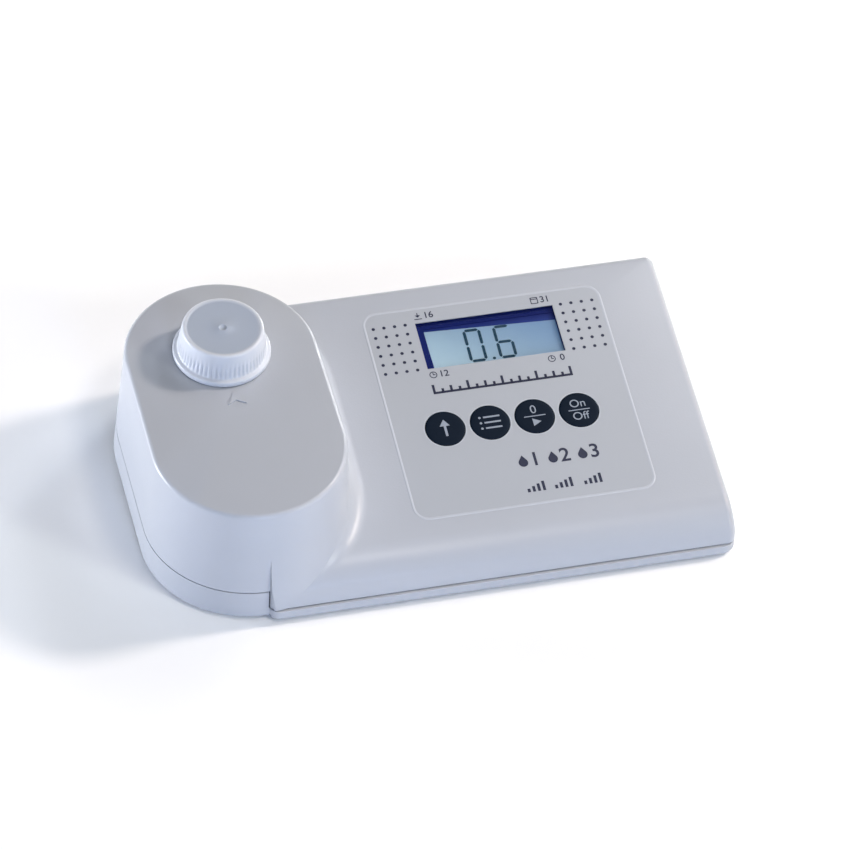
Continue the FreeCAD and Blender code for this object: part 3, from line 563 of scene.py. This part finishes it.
class FoilOperator(bpy.types.Operator):
    """Print the keypad foil's dots, scale, numbers, drops and bars, and raise its edge bead, made pale as a
    painted highlight
    """

    bl_idname = "photometer.foil"
    bl_label = "Keypad foil"

    def execute(self, context):
        sizes = context.scene.photometer_sizes
        colours = context.scene.photometer_colours
        face = foil("Printed foil", tuple(colours.foil))
        dark = ink("Dark blue print", tuple(colours.ink))
        mesh = mesh_of(merged("keypad_film"), "keypad_foil", sharp_angle=30.0)
        piece = link("keypad_foil", mesh, HOUSING, face)
        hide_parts("keypad_film")

        low, high = on_panel("keypad_film")
        bm = bmesh.new()
        rows = []
        for inset, height in EDGE_PROFILE:
            reach = inset * MM
            corners = rounded(low.x + reach, high.x - reach, low.y + reach, high.y - reach,
                              EDGE_CORNER * MM - reach)
            rows.append((corners, height * MM))
        add_band(bm, rows)
        # The edge bead is paler than the foil: a painted highlight along the foil's edge
        printed(bm, "foil_edge", foil("Foil edge with painted highlight", srgb(184, 187, 194)))

        for name, left in (("left_dots", sizes.dot_left), ("right_dots", sizes.dot_right)):
            bm = bmesh.new()
            for column in range(sizes.dot_columns):
                for row in range(sizes.dot_rows):
                    add_disc(bm, left + column * sizes.dot_pitch, sizes.dot_front + row * sizes.dot_pitch,
                             sizes.dot_size / 2, 0, sizes.ink_height)
            printed(bm, name, dark)

        for name, shape in (("tick_scale", self.tick_scale), ("corner_marks", self.corner_marks),
                            ("test_marks", self.test_marks), ("range_marks", self.range_marks)):
            bm = bmesh.new()
            shape(bm, sizes)
            printed(bm, name, dark)
        return {"FINISHED"}

    def tick_scale(self, bm, sizes):
        """A plain line with ticks of three heights."""
        top = sizes.ink_height
        left, right, v, line = (place * MM for place in (SCALE_LEFT, SCALE_RIGHT, SCALE_V, SCALE_LINE))
        add_block(bm, (left, v, 0), (right, v + line, top))
        for tick in range(sizes.scale_ticks):
            x = left + (right - left - line) * tick / (sizes.scale_ticks - 1)
            add_block(bm, (x, v, 0), (x + line, v + TICK_HEIGHTS[tick % 4] * MM, top))

    def corner_marks(self, bm, sizes):
        """The numbers and signs at the display's corners."""
        top = sizes.ink_height
        for words, x, v in CORNER_NUMBERS:
            add_words(bm, words, x * MM, v * MM, CORNER_HEIGHT * MM, 0, top, bold=0.04 * MM)
            self.corner_sign(bm, words, (x - CORNER_SIGN_LEFT) * MM, v * MM, top)

    def test_marks(self, bm, sizes):
        """Three drops with their numbers."""
        top = sizes.ink_height
        v = TEST_V * MM
        for words, x in TEST_NUMBERS:
            self.drop(bm, (x - DROP_LEFT) * MM, v, DROP_HEIGHT * MM, top)
            add_words(bm, words, (x + DROP_RIGHT) * MM, v, TEST_HEIGHT * MM, 0, top, bold=0.1 * MM)

    def range_marks(self, bm, sizes):
        """Three groups of rising bars."""
        for x in RANGE_MARKS:
            for bar in range(RANGE_BARS):
                left = (x + bar * RANGE_PITCH) * MM
                back = (RANGE_BACK + (bar + 1) * RANGE_STEP) * MM
                add_block(bm, (left, RANGE_FRONT * MM, 0), (left + RANGE_WIDTH * MM, back, sizes.ink_height))

    def corner_sign(self, bm, words, x, v, top):
        """Small signs beside the corner numbers: an arrow over a line, a calendar sheet and two clocks."""
        size = 1.3 * MM
        line = 0.3 * MM
        if words == "16":
            neck = v + size * 0.3
            head = [(x, v - size * 0.4), (x + size * 0.7, neck), (x - size * 0.7, neck)]
            add_block(bm, (x - size, v - size, 0), (x + size, v - size + line, top))
            add_outline(bm, head, 0, top)
            add_block(bm, (x - line / 2, neck, 0), (x + line / 2, v + size, top))
            return
        reaches = (size, size - line)
        if words == "31":
            corner = 0.3 * MM
            outer, inner = (rounded(x - reach, x + reach, v - reach, v + reach, corner, 3)
                            for reach in reaches)
            header = v + size * 0.3
            add_block(bm, (x - size + line, header, 0), (x + size - line, header + line, top))
        else:
            outer, inner = (circle(x, v, reach, 32) for reach in reaches)
            add_block(bm, (x - line / 2, v - line / 2, 0), (x + line / 2, v + size * 0.7, top))
            add_block(bm, (x + line / 2, v - line / 2, 0), (x + size * 0.55, v + line / 2, top))
        add_ring(bm, outer, inner, 0, top)

    def drop(self, bm, x, v, height, top):
        """A plain water drop: a point over the far part of a circle."""
        radius = height * 0.36
        middle = v - height * 0.14
        steps = 14
        corners = [(x, v + height / 2)]
        for step in range(steps + 1):
            angle = math.radians(35 - 250 * step / steps)
            corners.append((x + radius * math.cos(angle), middle + radius * math.sin(angle)))
        corners.reverse()
        add_outline(bm, corners, 0, top)


# A key's crown: how far in from its side in millimetres, and at what share of its rise
KEY_CROWN = ((0.0, 0.2), (0.12, 0.48), (0.45, 0.74), (1.1, 0.92), (2.0, 1.0))
KEY_SIDES = 96


class KeysOperator(bpy.types.Operator):
    """Shape the four embossed keys and print their signs"""

    bl_idname = "photometer.keys"
    bl_label = "Keys"

    def execute(self, context):
        sizes = context.scene.photometer_sizes
        colours = context.scene.photometer_colours
        face = ink("Dark navy key face", tuple(colours.key), roughness=0.5, gloss=0.06)
        sign = ink("Pale key sign", tuple(colours.sign), roughness=0.4)
        halo = ink("Pale key ring", srgb(180, 184, 190), roughness=0.4)
        signs = (self.arrow_sign, self.list_sign, self.zero_sign, self.power_sign)
        for key, shape_sign in zip(KEYS, signs):
            low, high = on_panel(key)
            body = key + "_body"
            centre = (low + high) / 2
            radius = (high.x - low.x) / 2
            rise = high.z
            profile = [(0, low.z), (radius - 0.02 * MM, low.z), (radius, low.z + 0.05 * MM)]
            profile += [(radius - inset * MM, rise * share) for inset, share in KEY_CROWN]
            profile.append((0, rise))
            bm = turned(profile, (centre.x, centre.y, 0), KEY_SIDES)
            bmesh.ops.transform(bm, matrix=PANEL, verts=bm.verts)
            mesh = mesh_of(bm, key + "_cap", sharp_angle=50.0)
            piece = link(key + "_cap", mesh, body, face)
            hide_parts(key)

            bm = bmesh.new()
            shape_sign(bm, rise, rise + sizes.ink_height)
            bmesh.ops.translate(bm, verts=bm.verts, vec=(centre.x, centre.y, 0))
            printed(bm, key + "_sign", sign, body)

            bm = bmesh.new()
            outer, inner = (circle(centre.x, centre.y, radius + gap * MM, KEY_SIDES) for gap in (0.5, 0.17))
            add_ring(bm, outer, inner, 0, sizes.ink_height)
            printed(bm, key + "_ring", halo)
        return {"FINISHED"}

    def arrow_sign(self, bm, low, high):
        """A plain upward arrow."""
        arrow = [(-0.4, -3.0), (0.4, -3.0), (0.4, 0.9), (1.7, 0.9), (0, 3.4), (-1.7, 0.9), (-0.4, 0.9)]
        add_outline(bm, [(x * MM, v * MM) for x, v in arrow], low, high)

    def list_sign(self, bm, low, high):
        """Three list lines."""
        for v in (-2.1, 0.0, 2.1):
            add_block(bm, (-1.9 * MM, (v - 0.3) * MM, low), (3.6 * MM, (v + 0.3) * MM, high))
            add_disc(bm, -3.1 * MM, v * MM, 0.42 * MM, low, high)

    def middle_bar(self, bm, low, high):
        """The bar between a key's two rows."""
        add_block(bm, (-3.6 * MM, -0.16 * MM, low), (3.6 * MM, 0.16 * MM, high))

    def zero_sign(self, bm, low, high):
        """A zero over a bar over a triangle."""
        add_words(bm, "0", 0, 2.4 * MM, 4.4 * MM, low, high - low)
        self.middle_bar(bm, low, high)
        add_outline(bm, [(-1.1 * MM, -3.8 * MM), (1.7 * MM, -2.3 * MM), (-1.1 * MM, -0.9 * MM)], low, high)

    def power_sign(self, bm, low, high):
        """On over a bar over Off."""
        add_words(bm, "On", 0, 2.4 * MM, 4.2 * MM, low, high - low)
        self.middle_bar(bm, low, high)
        add_words(bm, "Off", 0, -2.5 * MM, 4.2 * MM, low, high - low)


# The display's prints, in millimetres on the panel
WINDOW_LEFT = 8.3
WINDOW_RIGHT = 55.2
WINDOW_FRONT = 20.4
WINDOW_BACK = 38.8
MASK = ((WINDOW_LEFT, WINDOW_FRONT), (WINDOW_LEFT + 2.8, WINDOW_FRONT),
        (WINDOW_LEFT + 2.4, WINDOW_BACK - 2.7), (WINDOW_RIGHT, WINDOW_BACK - 4.7),
        (WINDOW_RIGHT, WINDOW_BACK), (WINDOW_LEFT, WINDOW_BACK))
# The band over which the display mask darkens towards its back edge, a painted shadow of the window's edge
MASK_PAINTED_SHADOW = (34.5, 38.0)
FIGURES = ((0, "abcdef"), (10.1, "acdefg"))
FIGURES_PLACE = (23.9, 22.3)
FIGURES_SKEW = -0.4
POINT = (7.7, 0.1)
POINT_RADIUS = 0.55
FIGURE_WIDTH = 5.0
FIGURE_HEIGHT = 12.1
SEGMENT_WIDTH = 1.0
SEGMENT_GAP = 0.18


class DisplayOperator(bpy.types.Operator):
    """Finish the display: its pane, dark surround, glass and figures"""

    bl_idname = "photometer.display"
    bl_label = "Display"

    def execute(self, context):
        colours = context.scene.photometer_colours
        dress(clear("Clear window sheet", (0.98, 0.99, 1.0, 1.0), haze=0.04, cover=0.03), "display_window")
        dress(ink("Navy display surround", tuple(colours.surround), roughness=0.4, gloss=0.1), "lcd_frame")
        dress(display_face("Display glass with painted reflection and glow", tuple(colours.display)), "lcd_glass")
        dark = ink("Display segment", tuple(colours.segment), roughness=0.3)
        mask = self.mask_ink_with_painted_shadow("Navy display mask with painted shadow", tuple(colours.surround))
        face = on_panel("lcd_glass")[1].z
        thick = 0.02 * MM
        bm = bmesh.new()
        add_outline(bm, [(x * MM, v * MM) for x, v in MASK], face, face + thick)
        printed(bm, "display_mask", mask)

        bm = bmesh.new()
        for x, segments in FIGURES:
            self.figure(bm, x * MM, segments, thick)
        add_disc(bm, POINT[0] * MM, POINT[1] * MM, POINT_RADIUS * MM, 0, thick)
        skew = Matrix.Rotation(math.radians(FIGURES_SKEW), 4, "Z")
        corner = Matrix.Translation((FIGURES_PLACE[0] * MM, FIGURES_PLACE[1] * MM, face + 2 * thick))
        bmesh.ops.transform(bm, matrix=corner @ skew, verts=bm.verts)
        printed(bm, "display_figures", dark)
        return {"FINISHED"}

    def mask_ink_with_painted_shadow(self, name, colour):
        """Dark print that grows paler towards its front edge; its darkening towards the back edge is a
        painted shadow of the window's edge.
        """
        finish = Finish(name)
        where = finish.place()
        cover = finish.noise(where, 900.0)
        front, back = ((PANEL @ Vector((0, v * MM, 0))).y for v in MASK_PAINTED_SHADOW)
        # painted shadow: the print darkens towards its back edge
        paler = 1 - finish.range(finish.axis(where, 1), front, back)
        return finish.surface({
            "Base Color": finish.blend(paler, colour, srgb(58, 76, 158)),
            "Roughness": finish.spread(cover, 0.3, 0.4), "Specular IOR Level": 0.1,
            "Normal": finish.bump(cover, 0.06, 0.02 * MM)})

    def figure(self, bm, x, segments, thick):
        """One seven-segment figure with mitred ends."""
        width = FIGURE_WIDTH * MM
        height = FIGURE_HEIGHT * MM
        half = height / 2
        flat = self.segment(width)
        tall = [(up, across) for across, up in reversed(self.segment(half))]
        places = {"a": (flat, 0, height), "g": (flat, 0, half), "d": (flat, 0, 0), "f": (tall, 0, half),
                  "e": (tall, 0, 0), "b": (tall, width, half), "c": (tall, width, 0)}
        for segment in segments:
            shape, across, up = places[segment]
            add_outline(bm, [(x + across + px, up + pv) for px, pv in shape], 0, thick)

    def segment(self, length):
        """Corners of a flat-lying bar with pointed ends, anticlockwise."""
        gap = SEGMENT_GAP * MM
        half = SEGMENT_WIDTH * MM / 2
        return [(gap, 0), (gap + half, -half), (length - gap - half, -half), (length - gap, 0),
                (length - gap - half, half), (gap + half, half)]


# The cap's outer side in millimetres: the flange by its inset and its rise from the cap's lower edge, the
# grip by its radius and rise, and the crown by its radius and its fall from the cap's top
CAP_FLANGE = ((0.5, 0), (0.12, 0.14), (0, 0.5), (0, 1.5), (0.14, 1.84), (0.5, 2.0), (1.1, 2.08))
CAP_GRIP = ((14.45, 2.25), (14.3, 2.7), (14.2, 3.6), (14.05, 5.0), (13.92, 6.2), (13.75, 6.9),
            (13.5, 8.6), (13.3, 9.8))
CAP_FLUTED = CAP_GRIP[1:-3]
CAP_CROWN = ((13.22, 1.15), (13.14, 0.6), (12.95, 0.22), (12.6, 0.04), (12.3, 0), (11.95, 0.03),
             (11.7, 0.16), (11.3, 0.2), (6.0, 0.24), (1.7, 0.24), (1.5, 0.14), (1.25, 0.14), (1.0, 0.3),
             (0.7, 0.45), (0, 0.48))
SIDES_A_FLUTE = 6


class VialOperator(bpy.types.Operator):
    """Shape the vial's screw cap and finish the vial and its liner"""

    bl_idname = "photometer.vial"
    bl_label = "Vial and cap"

    def execute(self, context):
        sizes = context.scene.photometer_sizes
        white = self.cap_plastic(tuple(context.scene.photometer_colours.cap))
        low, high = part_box("vial_cap")
        radius = (high.x - low.x) / 2
        top = high.z
        bottom = low.z
        liner_low, liner_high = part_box("cap_liner")
        inner = (liner_high.x - liner_low.x) / 2 + 0.15 * MM
        roof = liner_high.z + 0.05 * MM
        rows = [(inner, bottom)]
        rows += [(radius - inset * MM, bottom + rise * MM) for inset, rise in CAP_FLANGE]
        rows += [(reach * MM, bottom + rise * MM) for reach, rise in CAP_GRIP]
        rows += [(reach * MM, top - fall * MM) for reach, fall in CAP_CROWN]
        rows += [(0, roof), (inner, roof), rows[0]]
        bm = turned(rows, (VIAL.x, VIAL.y, 0), sizes.flutes * SIDES_A_FLUTE)
        fluted = {round(bottom + rise * MM, 7) for reach, rise in CAP_FLUTED}
        skin = inner + 2 * MM
        for vertex in bm.verts:
            across = Vector((vertex.co.x - VIAL.x, vertex.co.y - VIAL.y, 0))
            if round(vertex.co.z, 7) in fluted and across.length > skin:
                wave = math.cos(math.atan2(across.y, across.x) * sizes.flutes)
                vertex.co -= across.normalized() * sizes.flute_depth * (0.5 - 0.5 * wave) ** 2
        mesh = mesh_of(bm, "vial_screw_cap", sharp_angle=55.0)
        piece = link("vial_screw_cap", mesh, "cap", white)
        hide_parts("vial_cap")
        dress(glass("Vial glass", (0.96, 0.99, 0.98, 1.0)), "vial_glass")
        dress(soft("Sealing disc", srgb(226, 226, 220), 0.7), "cap_liner")
        return {"FINISHED"}

    def cap_plastic(self, colour):
        """Milky polypropylene with faint flow marks, and a painted shade that darkens its top inside the rim
        to a bluish grey.
        """
        finish = Finish("Milky cap plastic with painted top shade")
        where = finish.place()
        flow = finish.noise(where, 220.0, roughness=0.6)
        fine = finish.noise(where, 2600.0, detail=2.0)
        milky = finish.blend(flow, colour, shaded(colour, 0.93))
        # painted shade: the top inside the rim is darkened to a bluish grey
        flattened = finish.place((1, 1, 0.001), (VIAL.x, VIAL.y, 0))
        roof = finish.axis(where, 2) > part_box("vial_cap")[1].z - 0.9 * MM
        thin = (1 - finish.range(finish.reach(flattened), 11.2 * MM, 12.2 * MM)) * roof
        return finish.surface({
            "Base Color": finish.blend(thin, milky, srgb(170, 178, 192)),
            "Roughness": finish.spread(fine, 0.34, 0.42),
            "Subsurface Weight": 0.2, "Subsurface Radius": (0.004, 0.004, 0.0045), "Subsurface Scale": 0.5,
            "Normal": finish.bump(fine, 0.06, 0.04 * MM)})


class InsideOperator(bpy.types.Operator):
    """Finish the pieces inside and under the housing"""

    bl_idname = "photometer.inside"
    bl_label = "Inner pieces"

    def execute(self, context):
        dress(soft("Dark seal", srgb(52, 55, 66)), "housing_gasket", "battery_cover_seal", "chamber_seal")
        dress(soft("Foot rubber", srgb(66, 67, 70), 0.85), "rubber_feet")
        dress(metal("Turned screw steel", srgb(196, 197, 200), 0.3),
              "housing_screws", "battery_cover_screws", "board_screws", "chamber_screws", "optic_screws")
        dress(metal("Nickel spring sheet", srgb(214, 210, 198), 0.25, stretch=(1, 6, 1)),
              "battery_contacts", "battery_springs", "key_domes")
        dress(moulded("Cell sleeve", srgb(64, 72, 92), 0.3, 0.3),
              "aa_cell_1", "aa_cell_2", "aa_cell_3", "aa_cell_4")
        dress(foil("Clear layer", srgb(214, 216, 212)), "keypad_spacer", "keypad_circuit")
        dress(foil("Light guide", srgb(236, 238, 232)), "backlight_panel")
        dress(soft("Striped contact rubber", srgb(150, 116, 132), 0.6), "zebra_strips")
        dress(board_green("Green circuit board"), "main_board", "lamp_board", "sensor_board")
        dress(moulded("Chip black", srgb(28, 28, 30), 0.5), "board_components")
        dress(moulded("Light-proof black", srgb(18, 18, 20), 0.6),
              "sample_chamber", "lamp_holder", "sensor_holder")
        dress(glass("Lamp lens", (0.92, 0.96, 1.0, 1.0)), "led_lamps")
        dress(glass("Filter glass", (0.35, 0.75, 0.55, 1.0)), "interference_filters")
        dress(moulded("Sensor body", srgb(32, 32, 38), 0.3, 0.3), "photosensors")
        return {"FINISHED"}


# The studio: each lamp by its name, place, size, power and colour, all aimed at the photometer
LAMPS = (
    ("left_light", (-0.88, 0.36, 0.05), 0.25, 13.2, (0.88, 0.92, 1.0)),
    ("wide_left_light", (-1.25, 0.1, 0.25), 0.8, 1.2, (0.8, 0.85, 1.0)),
    ("right_light", (1.6, 0.2, 1.36), 0.3, 24.0, (1.0, 0.89, 0.8)),
    ("front_right_light", (1.2, -1.2, 0.9), 0.32, 8.4, (0.95, 1.0, 0.94)),
    ("low_back_light", (0.8, 0.75, 0.2), 0.15, 4.2, (0.92, 0.96, 1.0)),
    ("back_right_light", (0.75, 0.8, 0.95), 0.28, 1.6, (0.62, 0.78, 1.0)),
    ("back_corner_light", (0.235, 0.21, 0.42), 0.08, 0.21, (1.0, 0.98, 0.98)),
    ("top_light", (0.0, 0.0, 1.45), 1.0, 2.4, (0.88, 0.93, 1.0)),
    ("top_right_light", (0.75, 0.45, 1.15), 0.4, 1.6, (0.9, 0.92, 1.0)),
    ("top_front_light", (0.28, -0.42, 1.36), 0.25, 3.4, (1.0, 0.94, 0.86)),
    ("front_left_light", (-0.9, -1.0, 0.35), 0.6, 1.4, (0.53, 0.74, 1.0)),
    ("front_light", (-0.05, -0.75, 0.22), 0.2, 2.8, (0.58, 0.7, 1.0)))
LAMP_TARGET = (0, 0, 0.02)
CAMERA_PLACE = (-0.33221, -1.00962, 1.17128)
CAMERA_TARGET = (0.00198, -0.00181, 0.02399)
CAMERA_ROLL = 5.693
CAMERA_LENS = 204.46
FLOOR_SIZE = 15.0
# The floor's glow grows with the distance from the photometer, so that no dark horizon shows behind it; its
# faint glow near the photometer lightens the shadows on the floor there.
FLOOR_GLOW_FROM = 0.1
FLOOR_GLOW_TO = 1.3
FLOOR_GLOW = ((0.0, 0.02), (0.12, 0.14), (0.35, 0.55), (1.0, 0.95))


class StageOperator(bpy.types.Operator):
    """Set the floor, the studio lights and the camera"""

    bl_idname = "photometer.stage"
    bl_label = "Stage"

    def execute(self, context):
        bm = bmesh.new()
        bmesh.ops.create_grid(bm, x_segments=1, y_segments=1, size=FLOOR_SIZE)
        mesh = bpy.data.meshes.new("floor")
        bm.to_mesh(mesh)
        bm.free()
        mesh.materials.append(self.floor_finish())
        floor = bpy.data.objects.new("floor", mesh)
        context.scene.collection.objects.link(floor)

        world = bpy.data.worlds.new("Studio")
        context.scene.world = world
        world.use_nodes = True
        sky = world.node_tree.nodes["Background"]
        sky.inputs["Color"].default_value = (0.93, 0.96, 1.0, 1.0)
        sky.inputs["Strength"].default_value = 0.02
        for lamp in LAMPS:
            self.lamp(*lamp)

        camera = bpy.data.objects.new("camera", bpy.data.cameras.new("camera"))
        context.scene.collection.objects.link(camera)
        camera.data.sensor_width = 36.0
        camera.data.lens = CAMERA_LENS
        camera.data.clip_end = 20.0
        self.aim(camera, CAMERA_PLACE, CAMERA_TARGET, CAMERA_ROLL)
        context.scene.camera = camera
        context.scene.view_settings.view_transform = "Standard"
        return {"FINISHED"}

    def floor_finish(self):
        """A dull pale ground that glows towards its far parts."""
        finish = Finish("Pale floor")
        where = finish.place()
        tone = finish.noise(where, 3.0, detail=2.0)
        far = finish.range(finish.reach(where), FLOOR_GLOW_FROM, FLOOR_GLOW_TO)
        glow = [(share, (level, level, level * 1.01, 1.0)) for share, level in FLOOR_GLOW]
        return finish.surface({
            "Base Color": finish.blend(tone, (0.95, 0.95, 0.955, 1.0), (0.97, 0.97, 0.97, 1.0)),
            "Roughness": 0.9,
            "Emission Color": finish.ramp(far, *glow),
            "Emission Strength": 1.0})

    def aim(self, thing, place, target, roll=0.0):
        """Point a camera or lamp at a place, turned clockwise about its view by a roll in degrees."""
        back = (Vector(place) - Vector(target)).normalized()
        turn = back.to_track_quat("Z", "Y").to_matrix() @ Matrix.Rotation(math.radians(roll), 3, "Z")
        matrix = turn.to_4x4()
        matrix.translation = Vector(place)
        thing.matrix_world = matrix

    def lamp(self, name, place, size, power, colour):
        """A round area lamp aimed at the photometer."""
        light = bpy.data.lights.new(name, "AREA")
        light.shape = "DISK"
        light.size = size
        light.energy = power
        light.color = colour
        holder = bpy.data.objects.new(name, light)
        bpy.context.scene.collection.objects.link(holder)
        self.aim(holder, place, LAMP_TARGET)


class PhotometerPanel(bpy.types.Panel):
    """The photometer's pieces, sizes and colours"""

    bl_idname = "VIEW3D_PT_photometer"
    bl_label = "Pool photometer"
    bl_space_type = "VIEW_3D"
    bl_region_type = "UI"
    bl_category = "Photometer"

    def draw(self, context):
        for operator in OPERATORS:
            self.layout.operator(operator.bl_idname)
        for group in (context.scene.photometer_sizes, context.scene.photometer_colours):
            for name in group.__annotations__:
                self.layout.prop(group, name)


OPERATORS = (ShellsOperator, FoilOperator, KeysOperator, DisplayOperator, VialOperator, InsideOperator,
             StageOperator)
CLASSES = (PhotometerSizes, PhotometerColours) + OPERATORS + (PhotometerPanel,)


def register():
    for item in CLASSES:
        bpy.utils.register_class(item)
    bpy.types.Scene.photometer_sizes = bpy.props.PointerProperty(type=PhotometerSizes)
    bpy.types.Scene.photometer_colours = bpy.props.PointerProperty(type=PhotometerColours)


def unregister():
    del bpy.types.Scene.photometer_sizes
    del bpy.types.Scene.photometer_colours
    for item in reversed(CLASSES):
        bpy.utils.unregister_class(item)


def main():
    register()
    bpy.ops.photometer.shells()
    bpy.ops.photometer.foil()
    bpy.ops.photometer.keys()
    bpy.ops.photometer.display()
    bpy.ops.photometer.vial()
    bpy.ops.photometer.inside()
    bpy.ops.photometer.stage()


if __name__ == "__main__":
    main()
